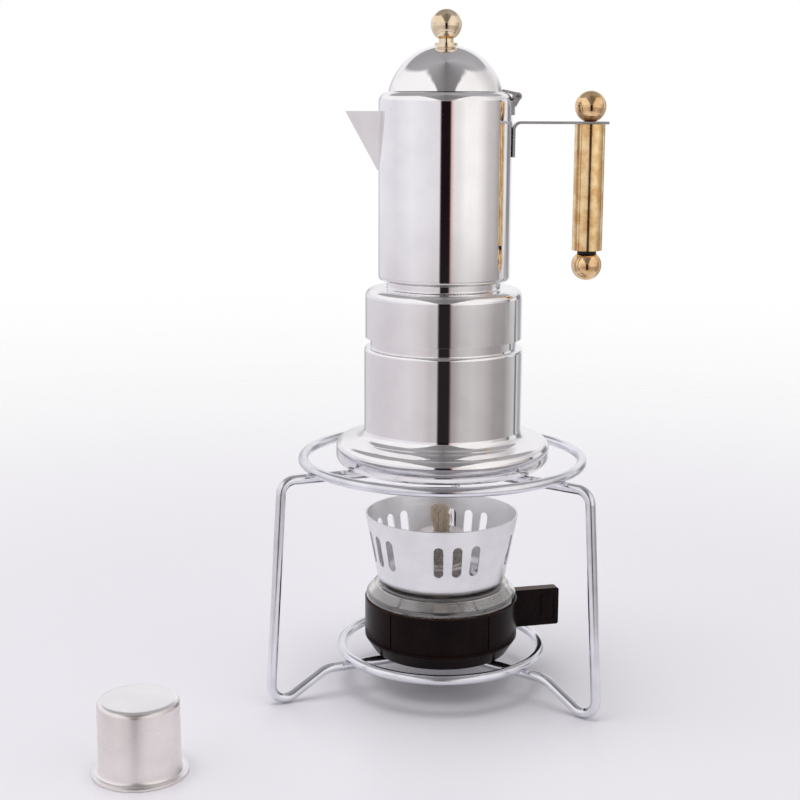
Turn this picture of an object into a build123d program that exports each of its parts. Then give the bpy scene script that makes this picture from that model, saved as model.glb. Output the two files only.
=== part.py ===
"""Stovetop espresso pot on a wire stand, with a spirit burner under it and the snuffer cap beside it.

Frame: millimetres, +Z up, the pot's axis is Z and the floor is Z = 0.
The pot's handle points along +X, its spout along -X, and the front is -Y.
"""

import os
from math import atan2, cos, radians, sin, sqrt, tan

from build123d import *

os.makedirs("parts", exist_ok=True)

# ---------------------------------------------------------------- driving dimensions
SEAT_GAP = 0.2  # between a part and what it stands on, when it lifts off
RUNNING = 0.05  # radial clearance of a pin in its hole
LOOSE = 0.4  # radial clearance of a part that drops into another

# stand
WIRE = 5.0
TOP_RING_R = 71.8
TOP_RING_Z = 120.8
LOWER_RING_R = 52.3
LOWER_RING_Z = 19.4
WELD_SINK = 0.5  # how deep a leg wire is pressed into a ring where they are welded
LEG_TOP_R = 87.6
LEG_FOOT_R = 95.1
LEG_TOP_BEND = 7.0
LEG_FOOT_BEND = 7.5
LEG_KNEE_BEND = 14.0
LEG_FOOT_RISE = 32.0  # degrees, the slope from the foot up to the knee
LEG_AZIMUTHS = {"leg_front_left": 204.0, "leg_front_right": 324.0, "leg_back": 84.0}

# spirit burner
HOLDER_R = 40.0
HOLDER_TAPER_IN = 5.2  # how much smaller the foot is
HOLDER_H = 28.5
HOLDER_TAPER_H = 8.0
HOLDER_WALL = 2.5
PANEL_LINE_AZIMUTHS = (-130.2, -53.3)
LINE_WIDTH = 0.8
LINE_DEPTH = 0.5
GRIP_AZIMUTH = 15.0
GRIP_REACH = 64.9
GRIP_H = 20.3
GRIP_T = 6.0
GRIP_CORNER = 1.2
THUMB_WIDTH = 8.0  # the rounded line round the thumb rest
THUMB_CORNER = 2.5
THUMB_MARGIN = 2.5
GRIP_FOOT = 8.2  # above the holder's foot
FONT_SHOULDER_IN = 0.7  # the glass shoulder, in from the holder's outside
FONT_SHOULDER_H = 2.6
FONT_TOP_IN = 4.9  # the font's top edge, in from its shoulder
FONT_TOP_H = 8.8  # above the holder's rim
FONT_NECK_R = 13.5
FONT_NECK_H = 9.0
GLASS_WALL = 2.4
SHEET = 0.9  # thin drawn sheet of caps, shield and funnel
CAP_SKIRT_R = 15.6
CAP_SKIRT_H = 8.5
CAP_TUBE_R = 12.0
CAP_TUBE_H = 16.2
TUBE_PROUD = 0.6  # the wick tube, above its cap
WICK_R = 3.6
WICK_TUFT_R = 5.8
WICK_TUFT_H = 13.4
WICK_OUT = 1.5  # bare wick between its tube and the tuft
SHIELD_FLOOR_HOLE_R = 17.5
SHIELD_FOOT_R = 32.9
SHIELD_TOP_R = 39.7
SHIELD_H = 36.3
SHIELD_FOOT_BEND = 5.0
SLOT_WIDTH = 4.9
SLOT_LENGTH = 16.6
SLOT_MIDDLE_H = 19.8  # above the shield's foot
SLOT_STEP = 14.8  # degrees between slots of a group
SLOT_GROUPS = 5
SLOTS_IN_GROUP = 3
FIRST_GROUP_AZIMUTH = -78.3
AIR_HOLE_R = 2.0
AIR_HOLES = 12

# snuffer cap
SNUFFER_X = -138.6
SNUFFER_Y = -116.3
SNUFFER_R = 18.8
SNUFFER_RIM_R = 22.1
SNUFFER_H = 35.2
SNUFFER_TOP_BEND = 2.6
SNUFFER_RIM_BEND = 2.0

# boiler
POT_WALL = 1.2
BOILER_FOOT_R = 52.4
BOILER_FLANGE_R = 54.8
BOILER_FLANGE_LOW_H = 2.6
BOILER_FLANGE_TOP_H = 12.0
BOILER_FLANGE_BEND = 4.2
BOILER_R = 40.3
BOILER_SLOPE_H = 14.0  # where the flange's slope meets the cylinder
BOILER_BEND = 5.0
BEAD_H = 60.1
RECESS_R = 37.2
RECESS_H = 4.4

# collector
SKIRT_R = 39.75
SKIRT_H = 25.0
SKIRT_BEND = 4.0
SKIRT_GAP = 0.5  # seam between the boiler's bead and the skirt
NECK_R = 29.0
NECK_H = 3.6
GASKET_H = 3.3
GASKET_HOLE_R = 30.0
PLATE_R = 33.5
PLATE_T = 0.8
COLLECTOR_R = 33.2
COLLECTOR_H = 93.1
COLLECTOR_FOOT_BEND = 2.75
COLLECTOR_SHOULDER = 4.5
MOUTH_R = 27.0
COLUMN_FOOT_R = 9.0
COLUMN_R = 5.0
COLUMN_CONE_H = 14.0
COLUMN_BEND = 8.0
COLUMN_H = 58.0
COLUMN_BORE_R = 3.2
PORT_DROP = 8.0  # middle of the column's ports below its top
PORT_LENGTH = 7.0
PORT_WIDTH = 3.6
SPOUT_TIP_X = -49.7
SPOUT_TOP_H = 84.0  # above the collector's floor
SPOUT_H = 28.9
SPOUT_HALF_WIDTH = 12.0
SPOUT_SHEET = 1.0

# funnel
FUNNEL_BOWL_H = 14.0
FUNNEL_CONE_H = 10.0
STEM_R = 5.0
STEM_END_H = 5.0  # the stem ends this far above the boiler's floor
SIEVE_HOLE_R = 0.9
SIEVE_RINGS = 4
SIEVE_PITCH = 7.2

# lid and its hinge
LID_R = 28.4
LID_H = 22.8
LID_SEAM = 0.3
LID_HEM = 3.0
KNOB_R = 7.65
KNOB_NECK_R = 3.65
KNOB_RISE = 9.4  # ball centre above the lid's top
WASHER_R = 5.6
WASHER_T = 1.3
SCREW_R = 2.0
SCREW_HEAD_R = 4.0
SCREW_HEAD_T = 2.0
SCREW_REACH = 5.0
HINGE_X = 35.2
HINGE_DROP = 1.8  # hinge axis below the collector's top
KNUCKLE_R = 1.95
HINGE_PIN_R = 1.0
HINGE_PIN_PROUD = 0.4
LEAF_WIDTH = 8.0
LEAF_T = 1.3
EAR_WIDTH = 4.0
EAR_GAP = 0.3
HINGE_PLATE_T = 1.2
HINGE_PLATE_H = 9.0

# handle
STRAP_T = 1.3
STRAP_WIDTH = 12.0
STRAP_TOP_DROP = 13.8  # strap's upper face below the collector's top
STRAP_LEG_H = 17.5
STRAP_BEND = 3.6
STRAP_END_X = 80.5
HANDLE_X = 71.7
GRIP_TUBE_R = 7.55
GRIP_TUBE_H = 62.3
GRIP_TUBE_WALL = 1.1
PLUG_T = 3.0
TOP_BALL_R = 7.75
TOP_BALL_FLAT_R = 2.6
FOOT_BALL_R = 7.6
SPACER_R = 4.8
SPACER_T = 1.6
ROD_R = 2.0
ROD_END = 5.0  # how far the rod screws into each ball

# safety valve, on the back of the boiler
VALVE_H = 33.0
VALVE_SHANK_R = 4.0
VALVE_FLANGE_R = 6.5
VALVE_FLANGE_T = 2.0
VALVE_BARREL_R = 4.8
VALVE_BARREL_H = 7.0
VALVE_CHAMBER_R = 3.2
VALVE_PIN_R = 1.0
VALVE_PIN_OUT = 2.0
VALVE_PIN_IN = 3.0  # how far the pin's tail reaches past the inner seat
VALVE_TRAVEL = 1.2
VALVE_END_WALL = 1.5
VALVE_FACE_PROUD = 0.6  # the flange's face, clear of the round wall
VALVE_SHOULDER_T = 1.0
VALVE_NUT_AF_R = 6.5
VALVE_NUT_T = 2.5
SPRING_WIRE_R = 0.3
SPRING_TURNS = 4

# ---------------------------------------------------------------- places worked out from them
UPPER_ARM_Z = TOP_RING_Z - WIRE + WELD_SINK
LOWER_ARM_Z = LOWER_RING_Z - WIRE + WELD_SINK

HOLDER_Z = LOWER_ARM_Z + WIRE / 2 + SEAT_GAP
HOLDER_RIM_Z = HOLDER_Z + HOLDER_H
HOLDER_BORE_R = HOLDER_R - HOLDER_WALL
HOLDER_FOOT_R = HOLDER_R - HOLDER_TAPER_IN
FONT_SHOULDER_R = HOLDER_R - FONT_SHOULDER_IN
FONT_TOP_R = FONT_SHOULDER_R - FONT_TOP_IN
FONT_TOP_Z = HOLDER_RIM_Z + FONT_TOP_H
FONT_MOUTH_Z = FONT_TOP_Z + FONT_NECK_H
CAP_SKIRT_Z = FONT_MOUTH_Z + SEAT_GAP + SHEET
CAP_TOP_Z = CAP_SKIRT_Z + CAP_TUBE_H
WICK_TUBE_R = WICK_R + 0.1 + SHEET
SHIELD_Z = FONT_TOP_Z + SEAT_GAP

BOILER_Z = UPPER_ARM_Z + WIRE / 2 + SEAT_GAP
THREAD_R = SKIRT_R - POT_WALL - RUNNING
SKIRT_Z = BOILER_Z + BEAD_H + RECESS_H + SKIRT_GAP
SKIRT_TOP_Z = SKIRT_Z + SKIRT_H
COLLECTOR_Z = SKIRT_TOP_Z + NECK_H
COLLECTOR_TOP_Z = COLLECTOR_Z + COLLECTOR_H
GASKET_Z = SKIRT_TOP_Z - POT_WALL - SEAT_GAP - GASKET_H
FUNNEL_RIM_Z = GASKET_Z - SEAT_GAP
BOILER_RIM_Z = FUNNEL_RIM_Z - SHEET - SEAT_GAP
FUNNEL_R = THREAD_R - POT_WALL - LOOSE

LID_Z = COLLECTOR_TOP_Z + LID_SEAM
LID_TOP_Z = LID_Z + LID_H
DOME_R = (LID_R**2 + LID_H**2) / (2 * LID_H)
DOME_Z = LID_TOP_Z - DOME_R
HINGE_Z = COLLECTOR_TOP_Z - HINGE_DROP

STRAP_TOP_Z = COLLECTOR_TOP_Z - STRAP_TOP_DROP
GRIP_TOP_Z = STRAP_TOP_Z - STRAP_T
GRIP_LOW_Z = GRIP_TOP_Z - GRIP_TUBE_H
SPACER_Z = GRIP_LOW_Z - SPACER_T


# ---------------------------------------------------------------- helpers
def turned_sheet(*outline, radii, side, wall=SHEET):
    """Half section of a turned sheet part: its outline, thickened by the wall to one side."""
    with BuildSketch(Plane.XZ) as section:
        with BuildLine():
            FilletPolyline(*outline, radius=radii)
            offset(amount=wall, side=side, kind=Kind.INTERSECTION)
        make_face()
    return section.sketch


def standing_plane(azimuth):
    """Plane through Z whose local x points along the azimuth and whose local y is up."""
    turn = radians(azimuth)
    return Plane(origin=(0, 0, 0), x_dir=(cos(turn), sin(turn), 0), z_dir=(sin(turn), -cos(turn), 0))


def save(piece, name):
    """Label a finished piece and write it to its own file."""
    piece.label = name
    export_step(piece, f"parts/{name}.step")


# ---------------------------------------------------------------- stand
with BuildPart() as top_ring:
    with BuildSketch(Plane.XZ):
        with Locations((TOP_RING_R, TOP_RING_Z)):
            Circle(WIRE / 2)
    revolve(axis=Axis.Z)

with BuildPart() as lower_ring:
    with BuildSketch(Plane.XZ):
        with Locations((LOWER_RING_R, LOWER_RING_Z)):
            Circle(WIRE / 2)
    revolve(axis=Axis.Z)


def leg_wire(azimuth):
    """One leg: an arm under the top ring, the upright, the foot and an arm under the lower ring.

    The two arms end at the stand's axis, mitred so that the three legs meet face to face.
    """
    rise = radians(LEG_FOOT_RISE)
    lean = atan2(LEG_FOOT_R - LEG_TOP_R, UPPER_ARM_Z)
    tangent_length = LEG_FOOT_BEND * tan((radians(90) + rise + lean) / 2)
    # The foot's corner point is set so that the bend's lowest point is one wire radius up.
    corner_z = WIRE / 2 + LEG_FOOT_BEND - tangent_length * sin(rise) - LEG_FOOT_BEND * cos(rise)
    knee_r = LEG_FOOT_R - (LOWER_ARM_Z - corner_z) / tan(rise)
    mitre_reach = 3 * LEG_FOOT_R
    with BuildPart() as wire:
        with BuildLine(standing_plane(azimuth)) as route:
            FilletPolyline(
                (0, UPPER_ARM_Z),
                (LEG_TOP_R, UPPER_ARM_Z),
                (LEG_FOOT_R, corner_z),
                (knee_r, LOWER_ARM_Z),
                (0, LOWER_ARM_Z),
                radius=[LEG_TOP_BEND, LEG_FOOT_BEND, LEG_KNEE_BEND],
            )
        with BuildSketch(Plane(origin=route.line @ 0, z_dir=route.line % 0)):
            Circle(WIRE / 2)
        sweep()
        with BuildSketch(Plane.XY):
            with BuildLine():
                Polyline(
                    (0, 0),
                    (mitre_reach * cos(radians(azimuth - 60)), mitre_reach * sin(radians(azimuth - 60))),
                    (mitre_reach * cos(radians(azimuth + 60)), mitre_reach * sin(radians(azimuth + 60))),
                    close=True,
                )
            make_face()
        extrude(amount=TOP_RING_Z, mode=Mode.INTERSECT)
        add(top_ring.part, mode=Mode.SUBTRACT)
        add(lower_ring.part, mode=Mode.SUBTRACT)
    return wire.part


save(top_ring.part, "top_ring")
save(lower_ring.part, "lower_ring")
for leg_name, leg_azimuth in LEG_AZIMUTHS.items():
    save(leg_wire(leg_azimuth), leg_name)


# ---------------------------------------------------------------- spirit burner
with BuildPart() as burner_holder:
    revolve(
        profiles=turned_sheet(
            (0, HOLDER_Z),
            (HOLDER_FOOT_R, HOLDER_Z),
            (HOLDER_R, HOLDER_Z + HOLDER_TAPER_H),
            (HOLDER_R, HOLDER_RIM_Z),
            radii=[2.0, 1.0],
            side=Side.LEFT,
            wall=HOLDER_WALL,
        ),
        axis=Axis.Z,
    )
    # the flat grip, moulded on the wall
    with BuildSketch(standing_plane(GRIP_AZIMUTH)):
        with Locations(((HOLDER_BORE_R + 1 + GRIP_REACH) / 2, HOLDER_Z + GRIP_FOOT + GRIP_H / 2)):
            RectangleRounded(GRIP_REACH - HOLDER_BORE_R - 1, GRIP_H, GRIP_CORNER)
    extrude(amount=GRIP_T / 2, both=True)
    # the grip stands above the rim, clear of the glass shoulder
    with BuildSketch(Plane.XY.offset(HOLDER_RIM_Z)):
        Circle(FONT_SHOULDER_R + LOOSE)
    extrude(amount=GRIP_H, mode=Mode.SUBTRACT)
    # bead line under the straight wall, and the two moulded panel lines
    with BuildSketch(Plane.XZ):
        with Locations((HOLDER_R, HOLDER_Z + HOLDER_TAPER_H + 1)):
            Rectangle(2 * LINE_DEPTH, LINE_WIDTH)
    revolve(axis=Axis.Z, mode=Mode.SUBTRACT)
    for line_azimuth in PANEL_LINE_AZIMUTHS:
        with BuildSketch(standing_plane(line_azimuth)):
            with Locations((HOLDER_R, (HOLDER_Z + HOLDER_TAPER_H + HOLDER_RIM_Z) / 2)):
                Rectangle(2 * LINE_DEPTH, HOLDER_H - HOLDER_TAPER_H - 2)
        extrude(amount=LINE_WIDTH / 2, both=True, mode=Mode.SUBTRACT)
    # rounded line round the thumb rest, on both faces of the grip
    thumb_x = GRIP_REACH - THUMB_MARGIN - THUMB_WIDTH / 2
    thumb_h = GRIP_H - 2 * THUMB_MARGIN
    thumb_z = HOLDER_Z + GRIP_FOOT + GRIP_H / 2
    for face_side in (-1, 1):
        grip_plane = standing_plane(GRIP_AZIMUTH).offset(face_side * GRIP_T / 2)
        with BuildSketch(grip_plane):
            with Locations((thumb_x, thumb_z)):
                RectangleRounded(THUMB_WIDTH, thumb_h, THUMB_CORNER)
                RectangleRounded(
                    THUMB_WIDTH - 2 * LINE_WIDTH,
                    thumb_h - 2 * LINE_WIDTH,
                    THUMB_CORNER - LINE_WIDTH,
                    mode=Mode.SUBTRACT,
                )
        extrude(amount=-face_side * LINE_DEPTH, mode=Mode.SUBTRACT)
save(burner_holder.part, "burner_holder")

with BuildPart() as glass_reservoir:
    font_r = HOLDER_BORE_R - SEAT_GAP
    font_foot_r = HOLDER_FOOT_R - HOLDER_WALL - LOOSE
    rim_z = HOLDER_RIM_Z + SEAT_GAP
    revolve(
        profiles=turned_sheet(
            (0, HOLDER_Z + HOLDER_WALL + SEAT_GAP),
            (font_foot_r, HOLDER_Z + HOLDER_WALL + SEAT_GAP),
            (font_r, HOLDER_Z + HOLDER_TAPER_H + 2),
            (font_r, rim_z),
            (FONT_SHOULDER_R, rim_z),
            (FONT_SHOULDER_R, rim_z + FONT_SHOULDER_H),
            (FONT_TOP_R, FONT_TOP_Z),
            (FONT_NECK_R, FONT_TOP_Z),
            (FONT_NECK_R, FONT_MOUTH_Z),
            radii=[2.8, 3.0, 0.3, 0.8, 1.5, 3.0, 1.0],
            side=Side.LEFT,
            wall=GLASS_WALL,
        ),
        axis=Axis.Z,
    )
save(glass_reservoir.part, "glass_reservoir")

with BuildPart() as wick_cap:
    revolve(
        profiles=turned_sheet(
            (WICK_TUBE_R, CAP_TOP_Z),
            (CAP_TUBE_R, CAP_TOP_Z),
            (CAP_TUBE_R, CAP_SKIRT_Z),
            (CAP_SKIRT_R, CAP_SKIRT_Z),
            (CAP_SKIRT_R, CAP_SKIRT_Z - CAP_SKIRT_H),
            radii=[1.2, 1.0, 1.5],
            side=Side.RIGHT,
        ),
        axis=Axis.Z,
    )
save(wick_cap.part, "wick_cap")

with BuildPart() as wick_tube:
    with BuildSketch(Plane.XY.offset(CAP_SKIRT_Z - CAP_SKIRT_H)):
        Circle(WICK_TUBE_R)
        Circle(WICK_TUBE_R - SHEET, mode=Mode.SUBTRACT)
    extrude(amount=CAP_TOP_Z - CAP_SKIRT_Z + CAP_SKIRT_H + TUBE_PROUD)
save(wick_tube.part, "wick_tube")

with BuildPart() as wick:
    wick_low_z = HOLDER_Z + HOLDER_WALL + SEAT_GAP + GLASS_WALL + 2
    tuft_z = CAP_TOP_Z + WICK_OUT
    with BuildSketch(Plane.XY.offset(wick_low_z)):
        Circle(WICK_R)
    extrude(amount=tuft_z - wick_low_z + 1)
    with BuildSketch(Plane.XY.offset(tuft_z)):
        Circle(WICK_TUFT_R)
    extrude(amount=WICK_TUFT_H)
    fillet(wick.faces().sort_by(Axis.Z)[-1].edges(), radius=WICK_TUFT_R / 2)
save(wick.part, "wick")

with BuildPart() as windshield:
    revolve(
        profiles=turned_sheet(
            (SHIELD_FLOOR_HOLE_R, SHIELD_Z),
            (SHIELD_FOOT_R, SHIELD_Z),
            (SHIELD_TOP_R, SHIELD_Z + SHIELD_H),
            radii=[SHIELD_FOOT_BEND],
            side=Side.LEFT,
        ),
        axis=Axis.Z,
    )
    # rounded air slots in groups round the wall
    for group in range(SLOT_GROUPS):
        for place in range(SLOTS_IN_GROUP):
            slot_azimuth = (
                FIRST_GROUP_AZIMUTH + group * 360 / SLOT_GROUPS + (place - (SLOTS_IN_GROUP - 1) / 2) * SLOT_STEP
            )
            slot_plane = Plane(
                origin=(0, 0, SHIELD_Z + SLOT_MIDDLE_H),
                x_dir=(-sin(radians(slot_azimuth)), cos(radians(slot_azimuth)), 0),
                z_dir=(cos(radians(slot_azimuth)), sin(radians(slot_azimuth)), 0),
            )
            with BuildSketch(slot_plane):
                SlotOverall(SLOT_LENGTH, SLOT_WIDTH, rotation=90)
            extrude(amount=SHIELD_TOP_R + 1, mode=Mode.SUBTRACT)
    # air holes in the floor
    with BuildSketch(Plane.XY.offset(SHIELD_Z)):
        with PolarLocations((SHIELD_FLOOR_HOLE_R + SHIELD_FOOT_R - SHIELD_FOOT_BEND) / 2, AIR_HOLES):
            Circle(AIR_HOLE_R)
    extrude(amount=SHEET, mode=Mode.SUBTRACT)
save(windshield.part, "windshield")


# ---------------------------------------------------------------- snuffer cap
with BuildPart() as snuffer_cap:
    with Locations((SNUFFER_X, SNUFFER_Y, 0)):
        add(
            revolve(
                profiles=turned_sheet(
                    (0, SNUFFER_H),
                    (SNUFFER_R, SNUFFER_H),
                    (SNUFFER_R, SHEET),
                    (SNUFFER_RIM_R, SHEET),
                    radii=[SNUFFER_TOP_BEND, SNUFFER_RIM_BEND],
                    side=Side.RIGHT,
                ),
                axis=Axis.Z,
                mode=Mode.PRIVATE,
            )
        )
save(snuffer_cap.part, "snuffer_cap")


# ---------------------------------------------------------------- boiler
valve_z = BOILER_Z + VALVE_H
with BuildPart() as boiler_body:
    revolve(
        profiles=turned_sheet(
            (0, BOILER_Z),
            (BOILER_FOOT_R, BOILER_Z),
            (BOILER_FLANGE_R, BOILER_Z + BOILER_FLANGE_LOW_H),
            (BOILER_FLANGE_R, BOILER_Z + BOILER_FLANGE_TOP_H),
            (BOILER_R, BOILER_Z + BOILER_SLOPE_H),
            (BOILER_R, BOILER_Z + BEAD_H),
            (RECESS_R, BOILER_Z + BEAD_H),
            (RECESS_R, BOILER_Z + BEAD_H + RECESS_H),
            (THREAD_R, BOILER_Z + BEAD_H + RECESS_H + 1),
            (THREAD_R, BOILER_RIM_Z),
            radii=[2.5, BOILER_FLANGE_BEND, BOILER_FLANGE_BEND, BOILER_BEND, 1.6, 0, 0, 0],
            side=Side.LEFT,
            wall=POT_WALL,
        ),
        axis=Axis.Z,
    )
    with BuildSketch(Plane(origin=(0, 0, valve_z), z_dir=(0, 1, 0))):
        Circle(VALVE_SHANK_R)
    extrude(amount=BOILER_R + 1, mode=Mode.SUBTRACT)
save(boiler_body.part, "boiler_body")

# The valve lies along +Y, so its pieces are turned about a line through its middle.
valve_axis = Axis((0, 0, valve_z), (0, 1, 0))
valve_face_y = BOILER_R + VALVE_FACE_PROUD
valve_inner_y = sqrt((BOILER_R - POT_WALL) ** 2 - VALVE_NUT_AF_R**2) - VALVE_NUT_T
valve_seat_y = BOILER_R - POT_WALL
valve_end_y = valve_face_y + VALVE_FLANGE_T + VALVE_BARREL_H
chamber_end_y = valve_end_y - VALVE_END_WALL


def turned_on_valve(*outline):
    """Half section of a valve piece: local x is the distance from the valve's axis, local y is along it."""
    with BuildSketch(Plane(origin=(0, 0, valve_z), x_dir=(1, 0, 0), z_dir=(0, 0, 1))) as section:
        with BuildLine():
            Polyline(*outline, close=True)
        make_face()
    return section.sketch


with BuildPart() as valve_body:
    pin_hole_r = VALVE_PIN_R + RUNNING
    revolve(
        profiles=turned_on_valve(
            (pin_hole_r, valve_inner_y - 1),
            (VALVE_SHANK_R, valve_inner_y - 1),
            (VALVE_SHANK_R, valve_face_y),
            (VALVE_FLANGE_R, valve_face_y),
            (VALVE_FLANGE_R, valve_face_y + VALVE_FLANGE_T),
            (VALVE_BARREL_R, valve_face_y + VALVE_FLANGE_T),
            (VALVE_BARREL_R, valve_end_y),
            (pin_hole_r, valve_end_y),
            (pin_hole_r, chamber_end_y),
            (VALVE_CHAMBER_R, chamber_end_y),
            (VALVE_CHAMBER_R, valve_seat_y),
            (pin_hole_r, valve_seat_y),
        ),
        axis=valve_axis,
    )
save(valve_body.part, "valve_body")

with BuildPart() as valve_nut:
    with BuildSketch(Plane(origin=(0, valve_inner_y, valve_z), z_dir=(0, 1, 0))):
        RegularPolygon(VALVE_NUT_AF_R, 6)
        Circle(VALVE_SHANK_R, mode=Mode.SUBTRACT)
    extrude(amount=VALVE_NUT_T)
save(valve_nut.part, "valve_nut")

with BuildPart() as valve_pin:
    shoulder_y = valve_seat_y + SEAT_GAP
    revolve(
        profiles=turned_on_valve(
            (0, valve_inner_y - 1 - VALVE_PIN_IN),
            (VALVE_PIN_R, valve_inner_y - 1 - VALVE_PIN_IN),
            (VALVE_PIN_R, shoulder_y),
            (VALVE_CHAMBER_R - LOOSE, shoulder_y),
            (VALVE_CHAMBER_R - LOOSE, shoulder_y + VALVE_SHOULDER_T),
            (VALVE_PIN_R, shoulder_y + VALVE_SHOULDER_T),
            (VALVE_PIN_R, valve_end_y + VALVE_PIN_OUT),
            (0, valve_end_y + VALVE_PIN_OUT),
        ),
        axis=valve_axis,
    )
save(valve_pin.part, "valve_pin")

with BuildPart() as valve_spring:
    coil_r = VALVE_CHAMBER_R - LOOSE - SPRING_WIRE_R
    coil_y = shoulder_y + VALVE_SHOULDER_T + SPRING_WIRE_R
    coil_length = chamber_end_y - VALVE_TRAVEL - 3 * SPRING_WIRE_R - coil_y
    with BuildLine() as coil:
        Helix(
            pitch=coil_length / SPRING_TURNS,
            height=coil_length,
            radius=coil_r,
            center=(0, coil_y, valve_z),
            direction=(0, 1, 0),
        )
    with BuildSketch(Plane(origin=coil.line @ 0, z_dir=coil.line % 0)):
        Circle(SPRING_WIRE_R)
    sweep()
save(valve_spring.part, "valve_spring")


# ---------------------------------------------------------------- funnel
bowl_floor_z = FUNNEL_RIM_Z - FUNNEL_BOWL_H
cone_low_z = bowl_floor_z - FUNNEL_CONE_H
with BuildPart() as funnel:
    revolve(
        profiles=turned_sheet(
            (STEM_R, BOILER_Z + POT_WALL + STEM_END_H),
            (STEM_R, cone_low_z),
            (FUNNEL_R, bowl_floor_z),
            (FUNNEL_R, FUNNEL_RIM_Z - SHEET),
            (THREAD_R - 0.2, FUNNEL_RIM_Z - SHEET),
            radii=[2.0, 2.0, 0],
            side=Side.LEFT,
        ),
        axis=Axis.Z,
    )
save(funnel.part, "funnel")

with BuildPart() as funnel_sieve:
    with BuildSketch(Plane.XY.offset(bowl_floor_z + 1.5)):
        Circle(FUNNEL_R - SHEET - RUNNING)
        Circle(SIEVE_HOLE_R, mode=Mode.SUBTRACT)
        for ring in range(1, SIEVE_RINGS + 1):
            with PolarLocations(ring * SIEVE_PITCH, 6 * ring):
                Circle(SIEVE_HOLE_R, mode=Mode.SUBTRACT)
    extrude(amount=SHEET)
save(funnel_sieve.part, "funnel_sieve")


# ---------------------------------------------------------------- seal under the collector
with BuildPart() as gasket:
    gasket_r = THREAD_R - 0.2
    step_z = GASKET_Z + GASKET_H - PLATE_T
    with BuildSketch(Plane.XZ):
        with BuildLine():
            FilletPolyline(
                (GASKET_HOLE_R, GASKET_Z),
                (gasket_r, GASKET_Z),
                (gasket_r, GASKET_Z + GASKET_H),
                (PLATE_R, GASKET_Z + GASKET_H),
                (PLATE_R, step_z),
                (GASKET_HOLE_R, step_z),
                radius=[0, 0, SKIRT_BEND - POT_WALL, 0, 0, 0],
                close=True,
            )
        make_face()
    revolve(axis=Axis.Z)
save(gasket.part, "gasket")

with BuildPart() as filter_plate:
    with BuildSketch(Plane.XY.offset(step_z)):
        Circle(PLATE_R)
        Circle(SIEVE_HOLE_R, mode=Mode.SUBTRACT)
        for ring in range(1, SIEVE_RINGS):
            with PolarLocations(ring * SIEVE_PITCH, 6 * ring):
                Circle(SIEVE_HOLE_R, mode=Mode.SUBTRACT)
    extrude(amount=PLATE_T)
save(filter_plate.part, "filter_plate")


# ---------------------------------------------------------------- collector
with BuildPart() as collector_skirt:
    revolve(
        profiles=turned_sheet(
            (SKIRT_R, SKIRT_Z),
            (SKIRT_R, SKIRT_TOP_Z),
            (NECK_R, SKIRT_TOP_Z),
            (NECK_R, COLLECTOR_Z),
            radii=[SKIRT_BEND, 0.6],
            side=Side.LEFT,
            wall=POT_WALL,
        ),
        axis=Axis.Z,
    )
save(collector_skirt.part, "collector_skirt")


def spout_wedge(inset):
    """The solid wedge inside the spout's two sheets, moved in by the inset from their outer faces."""
    top_z = COLLECTOR_Z + SPOUT_TOP_H
    low_z = top_z - SPOUT_H
    tip_top = -SPOUT_TIP_X
    tip_low = COLLECTOR_R + 0.6
    back = COLLECTOR_R - 5
    slope = (tip_top - back) / SPOUT_HALF_WIDTH
    tip_inset = inset * sqrt(1 + slope**2)  # along X, for a sheet of even thickness
    with BuildPart() as wedge:
        for level, tip in ((low_z, tip_low), (top_z, tip_top)):
            reach = tip - tip_inset
            with BuildSketch(Plane.XY.offset(level)):
                with BuildLine():
                    Polyline(
                        (-reach, 0),
                        (-back, (reach - back) / slope),
                        (-back, -(reach - back) / slope),
                        close=True,
                    )
                make_face()
        loft()
    return wedge.part


with BuildPart() as collector_column:
    column_z = COLLECTOR_Z + POT_WALL
    with BuildSketch(Plane.XZ):
        with BuildLine():
            FilletPolyline(
                (COLUMN_BORE_R, column_z),
                (COLUMN_FOOT_R, column_z),
                (COLUMN_R, column_z + COLUMN_CONE_H),
                (COLUMN_R, column_z + COLUMN_H),
                (0, column_z + COLUMN_H),
                (0, column_z + COLUMN_H - POT_WALL),
                (COLUMN_BORE_R, column_z + COLUMN_H - POT_WALL),
                radius=[0, 0, COLUMN_BEND, COLUMN_R / 2, 0, 0, 0],
                close=True,
            )
        make_face()
    revolve(axis=Axis.Z)
    # the two ports the coffee runs out of, just under the closed top
    with BuildSketch(Plane.XZ):
        with Locations((0, column_z + COLUMN_H - PORT_DROP)):
            SlotOverall(PORT_LENGTH, PORT_WIDTH, rotation=90)
    extrude(amount=COLUMN_FOOT_R, both=True, mode=Mode.SUBTRACT)
save(collector_column.part, "collector_column")

with BuildPart() as collector_body:
    revolve(
        profiles=turned_sheet(
            (COLUMN_BORE_R, COLLECTOR_Z),
            (COLLECTOR_R, COLLECTOR_Z),
            (COLLECTOR_R, COLLECTOR_TOP_Z),
            (MOUTH_R, COLLECTOR_TOP_Z),
            radii=[COLLECTOR_FOOT_BEND, COLLECTOR_SHOULDER],
            side=Side.LEFT,
            wall=POT_WALL,
        ),
        axis=Axis.Z,
    )
    # pouring opening behind the spout
    add(spout_wedge(2 * SPOUT_SHEET), mode=Mode.SUBTRACT)
save(collector_body.part, "collector_body")

with BuildPart() as spout:
    add(spout_wedge(0))
    add(spout_wedge(SPOUT_SHEET), mode=Mode.SUBTRACT)
    with BuildSketch(Plane.XY.offset(COLLECTOR_Z)):
        Circle(COLLECTOR_R)
    extrude(amount=COLLECTOR_H, mode=Mode.SUBTRACT)
save(spout.part, "spout")


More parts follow.
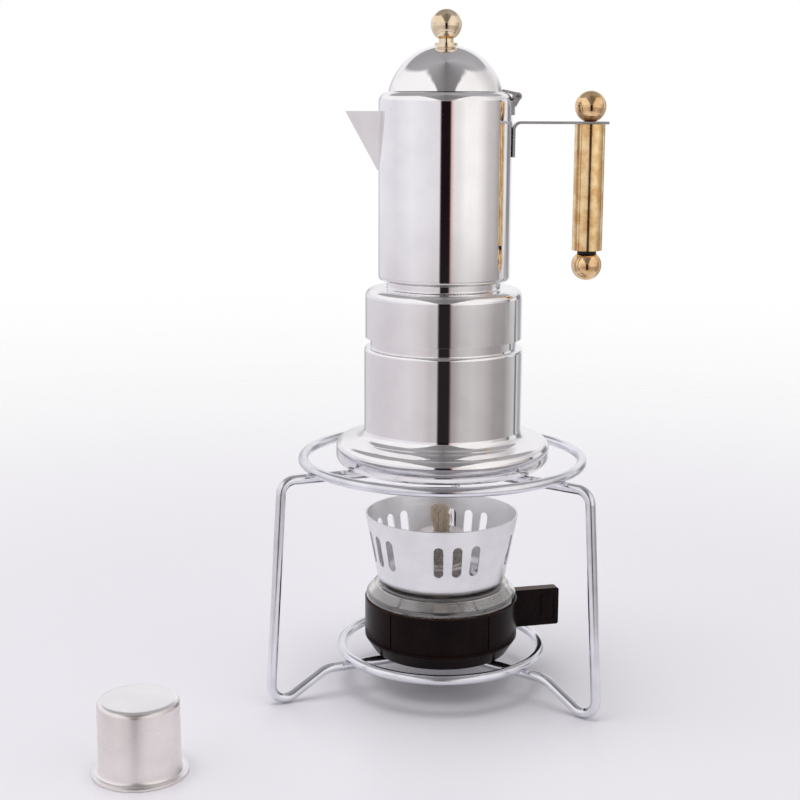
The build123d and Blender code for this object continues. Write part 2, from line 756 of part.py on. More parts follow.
# ---------------------------------------------------------------- lid and knob
with BuildPart() as lid_dome:
    hem_r = LID_R - LID_HEM
    inner_r = DOME_R - SHEET
    inner_z = LID_Z + SHEET
    inner_edge_r = sqrt(inner_r**2 - (inner_z - DOME_Z) ** 2)
    screw_hole_r = SCREW_R
    dome_top_z = DOME_Z + sqrt(DOME_R**2 - screw_hole_r**2)
    inner_top_z = DOME_Z + sqrt(inner_r**2 - screw_hole_r**2)
    with BuildSketch(Plane.XZ):
        with BuildLine():
            outer_arc = RadiusArc((screw_hole_r, dome_top_z), (LID_R, LID_Z), DOME_R)
            Polyline((LID_R, LID_Z), (hem_r, LID_Z), (hem_r, inner_z), (inner_edge_r, inner_z))
            RadiusArc((inner_edge_r, inner_z), (screw_hole_r, inner_top_z), -inner_r)
            Line((screw_hole_r, inner_top_z), (screw_hole_r, dome_top_z))
        make_face()
    revolve(axis=Axis.Z)
save(lid_dome.part, "lid_dome")

washer_top_z = LID_TOP_Z + WASHER_T / 2
with BuildPart() as knob_washer:
    with BuildSketch(Plane.XY.offset(washer_top_z)):
        Circle(WASHER_R)
        Circle(SCREW_R, mode=Mode.SUBTRACT)
    extrude(amount=-2 * WASHER_T)
    with Locations((0, 0, DOME_Z)):
        Sphere(DOME_R, mode=Mode.SUBTRACT)
save(knob_washer.part, "knob_washer")

knob_z = LID_TOP_Z + KNOB_RISE
screw_top_z = washer_top_z + SCREW_REACH
with BuildPart() as knob_ball:
    with BuildSketch(Plane.XY.offset(washer_top_z)):
        Circle(KNOB_NECK_R)
    extrude(amount=knob_z - washer_top_z)
    with Locations((0, 0, knob_z)):
        Sphere(KNOB_R)
    with BuildSketch(Plane.XY.offset(washer_top_z)):
        Circle(SCREW_R)
    extrude(amount=SCREW_REACH + RUNNING, mode=Mode.SUBTRACT)
save(knob_ball.part, "knob_ball")

with BuildPart() as knob_screw:
    head_top_z = DOME_Z + sqrt(inner_r**2 - SCREW_HEAD_R**2)
    with BuildSketch(Plane.XY.offset(head_top_z - SCREW_HEAD_T)):
        Circle(SCREW_HEAD_R)
    extrude(amount=SCREW_HEAD_T)
    with BuildSketch(Plane.XY.offset(head_top_z)):
        Circle(SCREW_R)
    extrude(amount=screw_top_z - head_top_z)
save(knob_screw.part, "knob_screw")


# ---------------------------------------------------------------- lid hinge
across = Plane.XZ  # hinge and handle outlines, drawn from the front; extruding goes towards -Y
leaf_half = LEAF_WIDTH / 2
ear_from = leaf_half + EAR_GAP
ear_to = ear_from + EAR_WIDTH
pin_half = ear_to + HINGE_PIN_PROUD

with BuildPart() as hinge_leaf:
    with BuildSketch(across):
        with Locations((HINGE_X, HINGE_Z)):
            Circle(KNUCKLE_R)
        with BuildLine():
            Polyline(
                (HINGE_X - 0.7 * KNUCKLE_R, HINGE_Z + 0.4 * KNUCKLE_R),
                (HINGE_X, HINGE_Z),
                (HINGE_X, HINGE_Z + KNUCKLE_R),
                (LID_R, LID_Z + LEAF_T),
                (LID_R - LEAF_T, LID_Z + LEAF_T),
                (LID_R - LEAF_T, LID_Z + 0.2),
                (LID_R, LID_Z + 0.2),
                close=True,
            )
        make_face()
        with Locations((HINGE_X, HINGE_Z)):
            Circle(HINGE_PIN_R + RUNNING, mode=Mode.SUBTRACT)
    extrude(amount=leaf_half, both=True)
    with Locations((0, 0, DOME_Z)):
        Sphere(DOME_R, mode=Mode.SUBTRACT)
save(hinge_leaf.part, "hinge_leaf")

with BuildPart() as hinge_bracket:
    # curved plate against the collector's wall
    plate_low_z = HINGE_Z - HINGE_PLATE_H
    with BuildSketch(Plane.XY.offset(plate_low_z)):
        Circle(COLLECTOR_R + HINGE_PLATE_T)
        Circle(COLLECTOR_R, mode=Mode.SUBTRACT)
        with Locations((COLLECTOR_R, 0)):
            Rectangle(COLLECTOR_R, 2 * ear_to, mode=Mode.INTERSECT)
    extrude(amount=HINGE_PLATE_H - KNUCKLE_R)
    # two ears that carry the pin
    with BuildSketch(across):
        with BuildLine():
            Polyline(
                (HINGE_X - KNUCKLE_R, HINGE_Z),
                (HINGE_X + KNUCKLE_R, HINGE_Z),
                (COLLECTOR_R + HINGE_PLATE_T, HINGE_Z - 2.5 * KNUCKLE_R),
                (COLLECTOR_R, HINGE_Z - 2.5 * KNUCKLE_R),
                close=True,
            )
        make_face()
        with Locations((HINGE_X, HINGE_Z)):
            Circle(KNUCKLE_R)
            Circle(HINGE_PIN_R, mode=Mode.SUBTRACT)
    extrude(amount=ear_to, both=True)
    # room for the lid's leaf between the ears, and for the collector's wall
    with Locations((HINGE_X, 0, HINGE_Z + 1)):
        Box(4 * KNUCKLE_R, 2 * ear_from, 2 * KNUCKLE_R + 3, mode=Mode.SUBTRACT)
    with BuildSketch(Plane.XY.offset(plate_low_z)):
        Circle(COLLECTOR_R)
    extrude(amount=HINGE_PLATE_H + KNUCKLE_R, mode=Mode.SUBTRACT)
save(hinge_bracket.part, "hinge_bracket")

with BuildPart() as hinge_pin:
    with BuildSketch(across.offset(-pin_half)):
        with Locations((HINGE_X, HINGE_Z)):
            Circle(HINGE_PIN_R)
    extrude(amount=2 * pin_half)
save(hinge_pin.part, "hinge_pin")


# ---------------------------------------------------------------- handle
with BuildPart() as handle_bracket:
    leg_x = COLLECTOR_R + STRAP_T / 2
    arm_z = STRAP_TOP_Z - STRAP_T / 2
    with BuildLine(across) as strap:
        FilletPolyline(
            (leg_x, STRAP_TOP_Z - STRAP_LEG_H),
            (leg_x, arm_z),
            (STRAP_END_X, arm_z),
            radius=STRAP_BEND,
        )
    with BuildSketch(Plane(origin=strap.line @ 0, x_dir=(1, 0, 0), z_dir=strap.line % 0)):
        RectangleRounded(STRAP_T, STRAP_WIDTH, 0.3)
    sweep()
    with BuildSketch(Plane.XY.offset(STRAP_TOP_Z)):
        with Locations((HANDLE_X, 0)):
            Circle(ROD_R)
    extrude(amount=-STRAP_T, mode=Mode.SUBTRACT)
save(handle_bracket.part, "handle_bracket")

with BuildPart() as handle_tube:
    with BuildSketch(Plane.XY.offset(GRIP_LOW_Z)):
        with Locations((HANDLE_X, 0)):
            Circle(GRIP_TUBE_R)
            Circle(GRIP_TUBE_R - GRIP_TUBE_WALL, mode=Mode.SUBTRACT)
    extrude(amount=GRIP_TUBE_H)
save(handle_tube.part, "handle_tube")

with BuildPart() as handle_plugs:
    for plug_z in (GRIP_LOW_Z, GRIP_TOP_Z - PLUG_T):
        with BuildSketch(Plane.XY.offset(plug_z)):
            with Locations((HANDLE_X, 0)):
                Circle(GRIP_TUBE_R - GRIP_TUBE_WALL)
                Circle(ROD_R, mode=Mode.SUBTRACT)
        extrude(amount=PLUG_T)
save(handle_plugs.part, "handle_plugs")

with BuildPart() as handle_spacer:
    with BuildSketch(Plane.XY.offset(SPACER_Z)):
        with Locations((HANDLE_X, 0)):
            Circle(SPACER_R)
            Circle(ROD_R, mode=Mode.SUBTRACT)
    extrude(amount=SPACER_T)
save(handle_spacer.part, "handle_spacer")


def end_ball(radius, flat_r, flat_z, upwards):
    """A ball with a small flat, bored for the rod; it stands on its flat or hangs from it."""
    centre_z = flat_z + upwards * sqrt(radius**2 - flat_r**2)
    with BuildPart() as ball:
        with Locations((HANDLE_X, 0, centre_z)):
            Sphere(radius)
        with BuildSketch(Plane.XY.offset(flat_z)):
            with Locations((HANDLE_X, 0)):
                Circle(2 * radius)
        extrude(amount=-upwards * 2 * radius, mode=Mode.SUBTRACT)
        with BuildSketch(Plane.XY.offset(flat_z)):
            with Locations((HANDLE_X, 0)):
                Circle(ROD_R)
        extrude(amount=upwards * (ROD_END + RUNNING), mode=Mode.SUBTRACT)
    return ball.part


save(end_ball(TOP_BALL_R, TOP_BALL_FLAT_R, STRAP_TOP_Z, 1), "handle_top_ball")
save(end_ball(FOOT_BALL_R, SPACER_R, SPACER_Z, -1), "handle_foot_ball")

with BuildPart() as handle_rod:
    rod_low_z = SPACER_Z - ROD_END
    with BuildSketch(Plane.XY.offset(rod_low_z)):
        with Locations((HANDLE_X, 0)):
            Circle(ROD_R)
    extrude(amount=STRAP_TOP_Z + ROD_END - rod_low_z)
save(handle_rod.part, "handle_rod")
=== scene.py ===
"""Looks for the stovetop pot on its wire stand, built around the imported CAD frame. Metres, +Z up."""

import math
import random

import bpy
from mathutils import Matrix, Vector


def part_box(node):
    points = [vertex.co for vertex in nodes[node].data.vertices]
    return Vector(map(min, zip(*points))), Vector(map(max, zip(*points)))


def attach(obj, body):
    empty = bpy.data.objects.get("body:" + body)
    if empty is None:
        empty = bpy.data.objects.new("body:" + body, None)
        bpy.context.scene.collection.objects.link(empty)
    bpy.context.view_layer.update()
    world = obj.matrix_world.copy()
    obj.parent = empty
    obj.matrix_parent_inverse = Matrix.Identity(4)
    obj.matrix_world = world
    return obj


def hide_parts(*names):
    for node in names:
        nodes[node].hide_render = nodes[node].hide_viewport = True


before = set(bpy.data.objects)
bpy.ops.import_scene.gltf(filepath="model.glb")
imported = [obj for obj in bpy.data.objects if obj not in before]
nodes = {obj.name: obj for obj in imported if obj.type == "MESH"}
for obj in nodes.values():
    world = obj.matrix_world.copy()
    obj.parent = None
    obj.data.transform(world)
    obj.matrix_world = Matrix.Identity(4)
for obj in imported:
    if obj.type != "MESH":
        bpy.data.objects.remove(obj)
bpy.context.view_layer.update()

MM = 0.001
draw = random.Random(11)


# ---------------------------------------------------------------- node helpers
NOISE_ROUGHNESS = 0.55


def add(tree, kind, inputs=None, **settings):
    """A new node with its settings; inputs holds plain values or sockets to link from."""
    node = tree.nodes.new(kind)
    for name, value in settings.items():
        setattr(node, name, value)
    for key, value in (inputs or {}).items():
        if isinstance(value, bpy.types.NodeSocket):
            tree.links.new(value, node.inputs[key])
        else:
            node.inputs[key].default_value = value
    return node


def ramp(tree, factor, stops):
    """Colour from a factor, through stops of (position, colour)."""
    node = add(tree, "ShaderNodeValToRGB", {"Fac": factor})
    elements = node.color_ramp.elements
    while len(elements) < len(stops):
        elements.new(0.5)
    # A moved element may change places with its neighbour, so the colours come once all are in place.
    for element, (position, _) in zip(elements, stops):
        element.position = position
    for element, (_, colour) in zip(elements, stops):
        element.color = (*colour, 1.0)
    return node.outputs["Color"]


def math_node(tree, operation, a, b=0.0, clamp=False):
    """One number from two."""
    return add(tree, "ShaderNodeMath", {0: a, 1: b}, operation=operation, use_clamp=clamp).outputs[0]


def remap(tree, value, low, high, to_low, to_high, smooth=False):
    """A number moved from one range to another, and held at its ends."""
    inputs = {"Value": value, "From Min": low, "From Max": high, "To Min": to_low, "To Max": to_high}
    kind = "SMOOTHSTEP" if smooth else "LINEAR"
    return add(tree, "ShaderNodeMapRange", inputs, interpolation_type=kind).outputs["Result"]


def noise(tree, vector, scale, detail):
    inputs = {"Vector": vector, "Scale": scale, "Detail": detail, "Roughness": NOISE_ROUGHNESS}
    return add(tree, "ShaderNodeTexNoise", inputs).outputs["Fac"]


def stretched(tree, scale):
    """Object coordinates, stretched, in metres."""
    coordinates = add(tree, "ShaderNodeTexCoord").outputs["Object"]
    return add(tree, "ShaderNodeMapping", {"Vector": coordinates, "Scale": scale}).outputs["Vector"]


def new_material(name):
    """A material with a bare Principled shader: the material, its tree and the shader."""
    material = bpy.data.materials.new(name)
    material.use_nodes = True
    tree = material.node_tree
    tree.nodes.clear()
    shader = add(tree, "ShaderNodeBsdfPrincipled")
    output = add(tree, "ShaderNodeOutputMaterial")
    tree.links.new(shader.outputs[0], output.inputs["Surface"])
    return material, tree, shader


# ---------------------------------------------------------------- materials
SWIRL = 1.5
MIX_A, MIX_B, MIX_COLOUR = 6, 7, 2  # the colour sockets of a Mix node


def painted_top_highlight(tree, colour, top_highlight_colour):
    """The colour, turning to a lighter one where the surface faces up: a painted highlight standing in for light
    falling on the top.
    """
    normal = add(tree, "ShaderNodeNewGeometry").outputs["Normal"]
    facing = add(tree, "ShaderNodeSeparateXYZ", {0: normal}).outputs["Z"]
    share = remap(tree, facing, 0.55, 0.95, 0.0, 1.0, smooth=True)
    return add(tree, "ShaderNodeMix", {"Factor": share, MIX_A: colour, MIX_B: (*top_highlight_colour, 1.0)},
               data_type="RGBA").outputs[MIX_COLOUR]


def metal(name, bright, dull, rough, grain, grain_scale=(1, 1, 1), wave=0.02, wave_scale=60.0, line=0.0,
          patch_scale=70.0, top_highlight_colour=None):
    """Polished or satin metal: soft tarnish patches, fine grain in the roughness, and a slightly uneven face."""
    material, tree, shader = new_material(name)
    shader.inputs["Metallic"].default_value = 1.0
    place = stretched(tree, (1, 1, 1))
    fine = noise(tree, stretched(tree, grain_scale), grain, 4.0)
    patches = noise(tree, place, patch_scale, 3.0)
    colour = ramp(tree, patches, [(0.36, dull), (0.6, bright)])
    # Painted highlight: faces turned upwards take a lighter colour, as if lit from above.
    if top_highlight_colour:
        colour = painted_top_highlight(tree, colour, top_highlight_colour)
    tree.links.new(colour, shader.inputs["Base Color"])
    tree.links.new(remap(tree, fine, 0.3, 0.7, rough[0], rough[1]), shader.inputs["Roughness"])
    waves = noise(tree, place, wave_scale, 1.0)
    height = waves
    if line:
        lines = noise(tree, stretched(tree, (0.02, 0.02, 1.0)), 9000.0, 2.0)
        height = math_node(tree, "ADD", waves, math_node(tree, "MULTIPLY", lines, line))
    bump = add(tree, "ShaderNodeBump", {"Strength": 1.0, "Distance": wave * MM, "Height": height})
    tree.links.new(bump.outputs[0], shader.inputs["Normal"])
    return material


def moulded(name, dark, light, rough, gloss, scale, bump_depth, top_highlight_colour=None):
    """Moulded plastic or rubber: slow swirls in the colour and a fine skin."""
    material, tree, shader = new_material(name)
    place = stretched(tree, (1, 1, 0.6))
    inputs = {"Vector": place, "Scale": scale, "Detail": 5.0, "Distortion": SWIRL}
    swirls = add(tree, "ShaderNodeTexNoise", inputs)
    colour = ramp(tree, swirls.outputs["Fac"], [(0.38, dark), (0.66, light)])
    # Painted highlight: faces turned upwards take a lighter colour, as if lit from above.
    if top_highlight_colour:
        colour = painted_top_highlight(tree, colour, top_highlight_colour)
    tree.links.new(colour, shader.inputs["Base Color"])
    fine = noise(tree, place, 2600.0, 3.0)
    tree.links.new(remap(tree, fine, 0.3, 0.7, rough[0], rough[1]), shader.inputs["Roughness"])
    shader.inputs["Specular IOR Level"].default_value = gloss
    bump = add(tree, "ShaderNodeBump", {"Strength": 0.5, "Distance": bump_depth * MM, "Height": fine})
    tree.links.new(bump.outputs[0], shader.inputs["Normal"])
    return material


def clear_glass(name):
    """Clear moulded glass, slightly wavy, with a glossy skin."""
    material, tree, shader = new_material(name)
    shader.inputs["Transmission Weight"].default_value = 0.98
    shader.inputs["Coat Weight"].default_value = 1.0
    shader.inputs["Coat IOR"].default_value = 2.0
    shader.inputs["Coat Roughness"].default_value = 0.02
    shader.inputs["IOR"].default_value = 1.5
    place = stretched(tree, (1, 1, 1))
    colour = ramp(tree, noise(tree, place, 55.0, 2.0), [(0.35, (0.90, 0.84, 0.82)), (0.65, (0.99, 0.97, 0.96))])
    tree.links.new(colour, shader.inputs["Base Color"])
    fine = noise(tree, place, 900.0, 3.0)
    tree.links.new(remap(tree, fine, 0.35, 0.75, 0.0, 0.05), shader.inputs["Roughness"])
    bump = add(tree, "ShaderNodeBump", {"Strength": 1.0, "Distance": 0.6 * MM,
                                        "Height": noise(tree, place, 75.0, 1.0)})
    tree.links.new(bump.outputs[0], shader.inputs["Normal"])
    return material


def cotton(name):
    """Natural cotton yarn, mottled along its strands."""
    material, tree, shader = new_material(name)
    place = stretched(tree, (1, 1, 0.25))
    colour = ramp(tree, noise(tree, place, 1500.0, 4.0),
                  [(0.30, (0.66, 0.50, 0.33)), (0.5, (0.90, 0.78, 0.60)), (0.72, (0.98, 0.92, 0.80))])
    tree.links.new(colour, shader.inputs["Base Color"])
    fine = noise(tree, place, 5200.0, 3.0)
    tree.links.new(remap(tree, fine, 0.3, 0.7, 0.8, 1.0), shader.inputs["Roughness"])
    shader.inputs["Sheen Weight"].default_value = 0.4
    bump = add(tree, "ShaderNodeBump", {"Strength": 0.7, "Distance": 0.05 * MM, "Height": fine})
    tree.links.new(bump.outputs[0], shader.inputs["Normal"])
    return material


STEEL = metal("polished_steel", (0.93, 0.92, 0.925), (0.885, 0.875, 0.885), (0.03, 0.06), 700.0,
              grain_scale=(0.1, 0.1, 1.0), wave=0.010, wave_scale=45.0)
CHROME = metal("chrome_wire", (0.83, 0.835, 0.88), (0.73, 0.735, 0.78), (0.14, 0.20), 900.0, wave=0.006,
               wave_scale=120.0)
# Painted highlight: the snuffer's upward faces take a near-white colour for the light on its top.
SNUFFER_STEEL = metal("snuffer_steel", (0.87, 0.82, 0.805), (0.82, 0.77, 0.755), (0.26, 0.33), 800.0,
                      grain_scale=(0.05, 0.05, 1.0), wave=0.012, wave_scale=60.0, line=0.08,
                      top_highlight_colour=(0.97, 0.955, 0.96))
STRAP_STEEL = metal("strap_steel", (0.62, 0.61, 0.62), (0.52, 0.51, 0.52), (0.36, 0.44), 1200.0, wave=0.0)
PLAIN_STEEL = metal("plain_steel", (0.72, 0.71, 0.71), (0.58, 0.575, 0.58), (0.18, 0.32), 1400.0,
                    grain_scale=(0.1, 0.1, 1.0), wave=0.02)
KNOB_BRASS = metal("knob_brass", (0.90, 0.77, 0.57), (0.82, 0.66, 0.45), (0.06, 0.12), 900.0, wave=0.008,
                   wave_scale=150.0, patch_scale=160.0)
BRASS = metal("polished_brass", (0.92, 0.66, 0.38), (0.74, 0.46, 0.22), (0.07, 0.13), 900.0, wave=0.008,
              wave_scale=150.0, patch_scale=160.0)
BRASS_TUBE = metal("brass_tube", (0.97, 0.73, 0.40), (0.74, 0.45, 0.19), (0.12, 0.22), 420.0,
                   grain_scale=(1.0, 1.0, 0.07), wave=0.03, wave_scale=110.0, patch_scale=150.0)
ALUMINIUM = metal("spun_aluminium", (0.91, 0.91, 0.925), (0.85, 0.85, 0.87), (0.30, 0.44), 1100.0,
                  grain_scale=(0.05, 0.05, 1.0), wave=0.02, line=0.25)
COLLAR = metal("wick_cap_steel", (0.78, 0.73, 0.70), (0.60, 0.55, 0.52), (0.22, 0.38), 900.0, wave=0.02)
# Painted highlight: the holder's upward faces take a lighter brown, standing in for the roof's reflection on its
# top edge.
BAKELITE = moulded("bakelite", (0.0035, 0.0007, 0.0009), (0.010, 0.0028, 0.0024), (0.20, 0.32), 0.09, 60.0, 0.006,
                   top_highlight_colour=(0.070, 0.036, 0.028))
BLACK = moulded("black_plastic", (0.006, 0.006, 0.007), (0.022, 0.020, 0.020), (0.32, 0.48), 0.3, 240.0, 0.02)
RUBBER = moulded("rubber", (0.62, 0.58, 0.50), (0.78, 0.74, 0.66), (0.55, 0.72), 0.5, 300.0, 0.03)
GLASS = clear_glass("clear_glass")
COTTON = cotton("cotton")

FINISHES = {
    CHROME: ["top_ring", "lower_ring", "leg_front_left", "leg_front_right", "leg_back"],
    BAKELITE: ["burner_holder"],
    GLASS: ["glass_reservoir"],
    COLLAR: ["wick_cap", "wick_tube"],
    PLAIN_STEEL: ["valve_nut", "valve_pin", "valve_spring", "funnel", "funnel_sieve",
                  "filter_plate", "collector_column", "knob_screw", "hinge_pin", "handle_rod"],
    ALUMINIUM: ["windshield"],
    SNUFFER_STEEL: ["snuffer_cap"],
    STEEL: ["boiler_body", "collector_skirt", "collector_body", "spout", "lid_dome"],
    STRAP_STEEL: ["handle_bracket", "hinge_bracket", "hinge_leaf"],
    KNOB_BRASS: ["knob_ball", "knob_washer"],
    BRASS: ["handle_top_ball", "handle_foot_ball", "valve_body"],
    BRASS_TUBE: ["handle_tube"],
    BLACK: ["handle_spacer", "handle_plugs"],
    RUBBER: ["gasket"],
    COTTON: ["wick"],
}
for finish, names in FINISHES.items():
    for name in names:
        nodes[name].data.materials.clear()
        nodes[name].data.materials.append(finish)


# ---------------------------------------------------------------- the wick's strands
STRANDS = 170
STRAND_R = 0.17 * MM
GOLDEN_TURN = 2.39996  # radians, spreads the strands evenly over the round
TWIST = 22.0  # radians a metre
TUFT_LEAN = 1.0 * MM
TUBE_STEPS = 8
TUFT_STEPS = 7


def wick_strands():
    """Cotton strands through the tube, fraying into a tuft above it."""
    low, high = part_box("wick")
    tube_low, tube_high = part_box("wick_tube")
    middle = (low + high) / 2
    tuft_r = (high.x - low.x) / 2 - 0.25 * MM
    core_r = (tube_high.x - tube_low.x) / 2 - 0.75 * MM
    curve = bpy.data.curves.new("wick_strands", "CURVE")
    curve.dimensions = "3D"
    curve.bevel_depth = STRAND_R
    curve.bevel_resolution = 0
    curve.resolution_u = 2
    curve.use_fill_caps = True
    for index in range(STRANDS):
        share = math.sqrt((index + 0.5) / STRANDS)
        turn = index * GOLDEN_TURN
        top = high.z - 0.3 * MM - draw.random() ** 2 * 4.5 * MM - share ** 3 * 2.0 * MM
        curl = draw.uniform(0.3, 1.3) * MM
        phase = draw.uniform(0, math.tau)
        spread = draw.uniform(0.80, 1.12)
        points = []
        levels = [low.z + 0.3 * MM + (tube_high.z - low.z) * step / TUBE_STEPS for step in range(TUBE_STEPS + 1)]
        levels += [tube_high.z + (top - tube_high.z) * step / TUFT_STEPS for step in range(1, TUFT_STEPS + 1)]
        for level in levels:
            up = max(0.0, (level - tube_high.z) / (high.z - tube_high.z))
            flare = core_r + (tuft_r * spread - core_r) * math.sin(min(1.0, up * 1.6) * math.pi / 2)
            radius = share * flare
            angle = turn + (level - low.z) * TWIST + (phase - math.pi) * 0.1 * up
            wobble = curl * up
            points.append((
                middle.x + radius * math.cos(angle) + wobble * math.cos(phase + level * 900) - TUFT_LEAN * up,
                middle.y + radius * math.sin(angle) + wobble * math.sin(phase * 2 + level * 800),
                level,
            ))
        spline = curve.splines.new("NURBS")
        spline.points.add(len(points) - 1)
        for point, place in zip(spline.points, points):
            point.co = (*place, 1.0)
            point.radius = draw.uniform(0.75, 1.15)
        spline.order_u = 3
        spline.use_endpoint_u = True
    strands = bpy.data.objects.new("wick_strands", curve)
    bpy.context.scene.collection.objects.link(strands)
    curve.materials.append(COTTON)
    return strands


strands = wick_strands()
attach(strands, "wick_assembly")
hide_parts("wick")


# ---------------------------------------------------------------- floor
FLOOR_R = 4.0
FLOOR_DROP = 0.2 * MM
# Metres from the middle of the stand, and how far the floor has thinned out there.
FLOOR_FADE = [(0.30, 0.0), (0.43, 0.17), (0.58, 0.38), (0.77, 0.64), (1.02, 0.83), (1.36, 0.95), (1.7, 1.0)]
MIRRORED_FULL_R = 0.16  # polished metal sees less of the floor, and the surroundings past it
MIRRORED_GONE_R = 0.34


def floor_material():
    """Pale floor that thins out into the white surroundings away from the object."""
    material, tree, shader = new_material("studio_floor")
    place = add(tree, "ShaderNodeNewGeometry").outputs["Position"]
    soft = noise(tree, place, 5.0, 1.0)
    colour = ramp(tree, soft, [(0.3, (0.800, 0.788, 0.832)), (0.7, (0.806, 0.794, 0.838))])
    tree.links.new(colour, shader.inputs["Base Color"])
    tree.links.new(remap(tree, soft, 0.3, 0.7, 0.30, 0.34), shader.inputs["Roughness"])
    shader.inputs["Specular IOR Level"].default_value = 0.25
    reach = add(tree, "ShaderNodeVectorMath", {0: place}, operation="LENGTH").outputs["Value"]
    gone_r = FLOOR_FADE[-1][0]
    fade = [(radius / gone_r, (gone, gone, gone)) for radius, gone in FLOOR_FADE]
    far = ramp(tree, math_node(tree, "DIVIDE", reach, gone_r), fade)
    mirrored = remap(tree, reach, MIRRORED_FULL_R, MIRRORED_GONE_R, 0.0, 1.0, smooth=True)
    glossy = add(tree, "ShaderNodeLightPath").outputs["Is Glossy Ray"]
    gone = math_node(tree, "MAXIMUM", far, math_node(tree, "MULTIPLY", mirrored, glossy))
    clear = add(tree, "ShaderNodeBsdfTransparent")
    mix = add(tree, "ShaderNodeMixShader", {0: gone, 1: shader.outputs[0], 2: clear.outputs[0]})
    output = next(node for node in tree.nodes if node.type == "OUTPUT_MATERIAL")
    tree.links.new(mix.outputs[0], output.inputs["Surface"])
    return material


bpy.ops.mesh.primitive_circle_add(vertices=96, radius=FLOOR_R, fill_type="NGON", location=(0, 0, -FLOOR_DROP))
floor = bpy.context.object
floor.name = "floor"
floor.data.materials.append(floor_material())

# ---------------------------------------------------------------- studio surroundings
# Degrees around from the front, positive to the right, and the light's colour there.
LEVEL = [  # straight out
    (-180, (0.90, 0.90, 0.92)), (-165, (0.55, 0.55, 0.57)), (-150, (0.86, 0.85, 0.89)), (-120, (0.83, 0.81, 0.86)),
    (-94, (0.79, 0.77, 0.82)), (-60, (0.89, 0.88, 0.92)), (-30, (0.82, 0.80, 0.84)), (-10, (0.80, 0.77, 0.79)),
    (-8, (0.012, 0.006, 0.008)), (8, (0.012, 0.006, 0.008)), (10, (0.70, 0.47, 0.45)), (15, (0.84, 0.79, 0.79)),
    (24, (0.86, 0.84, 0.83)), (35, (1.0, 0.98, 0.97)), (55, (1.0, 0.98, 0.96)), (66, (0.88, 0.85, 0.83)),
    (79, (0.64, 0.61, 0.62)), (93, (0.56, 0.52, 0.51)), (104, (0.40, 0.37, 0.36)), (108, (0.08, 0.08, 0.08)),
    (113, (0.80, 0.80, 0.83)), (128, (0.85, 0.85, 0.88)), (135, (0.22, 0.22, 0.24)), (147, (0.30, 0.30, 0.32)),
    (156, (0.85, 0.85, 0.88)), (180, (0.92, 0.92, 0.94)),
]
LOW = [  # a little downwards, past the near floor
    (-180, (0.80, 0.80, 0.83)), (-165, (0.40, 0.40, 0.42)), (-150, (0.70, 0.68, 0.72)), (-90, (0.67, 0.63, 0.67)),
    (-50, (0.72, 0.69, 0.71)), (-30, (0.66, 0.61, 0.63)), (-20, (0.56, 0.52, 0.53)), (-10, (0.56, 0.53, 0.54)),
    (-8, (0.02, 0.016, 0.018)), (8, (0.02, 0.016, 0.018)), (11, (0.36, 0.30, 0.30)), (25, (0.54, 0.51, 0.51)),
    (42, (0.60, 0.57, 0.57)), (60, (0.52, 0.49, 0.49)), (78, (0.37, 0.34, 0.34)), (98, (0.33, 0.31, 0.31)),
    (114, (0.52, 0.50, 0.50)), (124, (0.60, 0.59, 0.60)), (129, (0.07, 0.07, 0.07)), (134, (0.66, 0.66, 0.68)),
    (142, (0.40, 0.39, 0.41)), (152, (0.42, 0.42, 0.44)), (160, (0.80, 0.80, 0.83)), (180, (0.84, 0.84, 0.87)),
]
ROOF_START = [  # how high the grey roof begins, as the sine of the elevation
    (-180, 0.55), (-140, 0.50), (-110, 0.68), (-74, 0.86), (-45, 0.78), (-27, 0.62), (-10, 0.30), (0, 0.24),
    (10, 0.30), (27, 0.62), (45, 0.78), (74, 0.86), (110, 0.68), (140, 0.50), (180, 0.55),
]
ROOF = [
    (-180, (0.34, 0.335, 0.35)), (-90, (0.42, 0.41, 0.42)), (-45, (0.36, 0.35, 0.36)), (-20, (0.28, 0.27, 0.28)),
    (0, (0.19, 0.18, 0.185)), (25, (0.24, 0.23, 0.235)), (60, (0.34, 0.33, 0.34)), (110, (0.46, 0.45, 0.46)),
    (180, (0.34, 0.335, 0.35)),
]
LOBES = [  # between the level and the roof
    (-180, (0.93, 0.92, 0.94)), (-120, (0.97, 0.95, 0.97)), (-20, (1.0, 0.99, 0.98)), (-8, (0.50, 0.48, 0.48)),
    (8, (0.40, 0.38, 0.38)), (22, (0.98, 0.95, 0.94)), (75, (0.97, 0.94, 0.93)), (105, (0.72, 0.69, 0.69)),
    (120, (0.66, 0.64, 0.64)), (150, (0.90, 0.89, 0.90)), (180, (0.93, 0.92, 0.94)),
]
# Heights in the surroundings, as the sine of the elevation, between which one part turns into the next.
LOW_TO_LEVEL = (-0.16, -0.05)
LEVEL_TO_LOBES = (0.12, 0.30)
ROOF_SOFTNESS = 0.05
FLOOR_TO_LOW = (-0.75, -0.45)
FLOOR_GREY = (0.84, 0.83, 0.86, 1.0)
WHITE = (1.0, 1.0, 1.0, 1.0)

world = bpy.data.worlds.new("studio")
bpy.context.scene.world = world
world.use_nodes = True
tree = world.node_tree
tree.nodes.clear()


def blend_colour(factor, a, b):
    return add(tree, "ShaderNodeMix", {"Factor": factor, MIX_A: a, MIX_B: b}, data_type="RGBA").outputs[MIX_COLOUR]


def around_ramp(turn, stops):
    return ramp(tree, turn, [((angle + 180) / 360, colour) for angle, colour in stops])


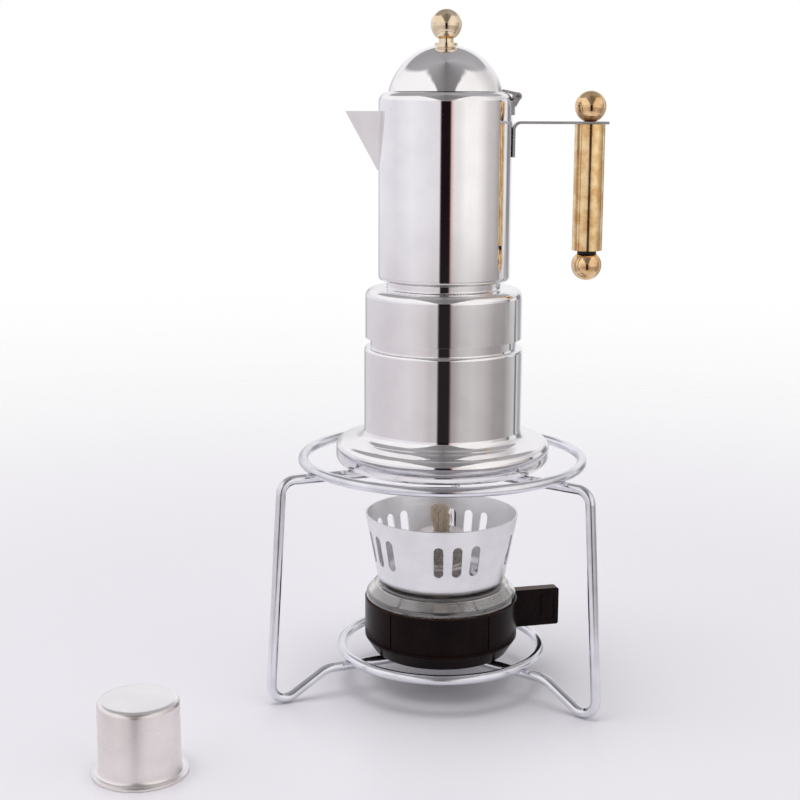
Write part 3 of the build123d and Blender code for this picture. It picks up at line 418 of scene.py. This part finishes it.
way = add(tree, "ShaderNodeSeparateXYZ", {0: add(tree, "ShaderNodeTexCoord").outputs["Generated"]}).outputs
around = math_node(tree, "ARCTAN2", way["X"], math_node(tree, "MULTIPLY", way["Y"], -1.0))
turn = math_node(tree, "ADD", math_node(tree, "DIVIDE", around, math.tau), 0.5)
low = remap(tree, way["Z"], *LOW_TO_LEVEL, 1.0, 0.0, smooth=True)
sides = blend_colour(low, around_ramp(turn, LEVEL), around_ramp(turn, LOW))
high = remap(tree, way["Z"], *LEVEL_TO_LOBES, 0.0, 1.0, smooth=True)
raised = blend_colour(high, sides, around_ramp(turn, LOBES))
start = around_ramp(turn, [(angle, (height, height, height)) for angle, height in ROOF_START])
past = math_node(tree, "SUBTRACT", way["Z"], start)
roof = remap(tree, past, -ROOF_SOFTNESS, ROOF_SOFTNESS, 0.0, 1.0, smooth=True)
roofed = blend_colour(roof, raised, around_ramp(turn, ROOF))
under = remap(tree, way["Z"], *FLOOR_TO_LOW, 1.0, 0.0, smooth=True)
studio = blend_colour(under, roofed, FLOOR_GREY)
path = add(tree, "ShaderNodeLightPath").outputs
plain = math_node(tree, "ADD", path["Is Camera Ray"], path["Is Transmission Ray"], clamp=True)
seen = blend_colour(plain, studio, WHITE)
background = add(tree, "ShaderNodeBackground", {"Color": seen, "Strength": 1.0})
world_output = add(tree, "ShaderNodeOutputWorld")
tree.links.new(background.outputs[0], world_output.inputs["Surface"])

# ---------------------------------------------------------------- lamp
LAMP_PLACE = Vector((-0.2, -0.1, 2.4))
LAMP_AIM = Vector((0, 0, 0.12))
light = bpy.data.lights.new("overhead", "AREA")
light.shape = "DISK"
light.size = 1.7
light.energy = 30.0
lamp = bpy.data.objects.new("overhead", light)
bpy.context.scene.collection.objects.link(lamp)
lamp.location = LAMP_PLACE
lamp.rotation_euler = (LAMP_AIM - LAMP_PLACE).to_track_quat("-Z", "Y").to_euler()
lamp.visible_glossy = False

# ---------------------------------------------------------------- camera
CAMERA_PLACE = Vector((-0.01209, -0.74276, 0.29698))
CAMERA_PITCH = math.radians(11.135)
CAMERA_YAW = math.radians(-0.764)
CAMERA_ROLL = math.radians(0.225)
LENS = 66.22
SENSOR = 36.0
CLIP_START = 0.01

forward = Vector((math.sin(CAMERA_YAW) * math.cos(CAMERA_PITCH), math.cos(CAMERA_YAW) * math.cos(CAMERA_PITCH),
                  -math.sin(CAMERA_PITCH)))
level = Vector((math.cos(CAMERA_YAW), -math.sin(CAMERA_YAW), 0.0))
upright = level.cross(forward)
right = level * math.cos(CAMERA_ROLL) + upright * math.sin(CAMERA_ROLL)
up = upright * math.cos(CAMERA_ROLL) - level * math.sin(CAMERA_ROLL)
camera = bpy.data.objects.new("camera", bpy.data.cameras.new("camera"))
bpy.context.scene.collection.objects.link(camera)
camera.data.lens = LENS
camera.data.sensor_width = SENSOR
camera.data.clip_start = CLIP_START
camera.location = CAMERA_PLACE
axes = Matrix((right, up, -forward)).transposed()
camera.rotation_euler = axes.to_euler()
bpy.context.scene.camera = camera
bpy.context.scene.view_settings.view_transform = "Standard"

bpy.context.view_layer.update()
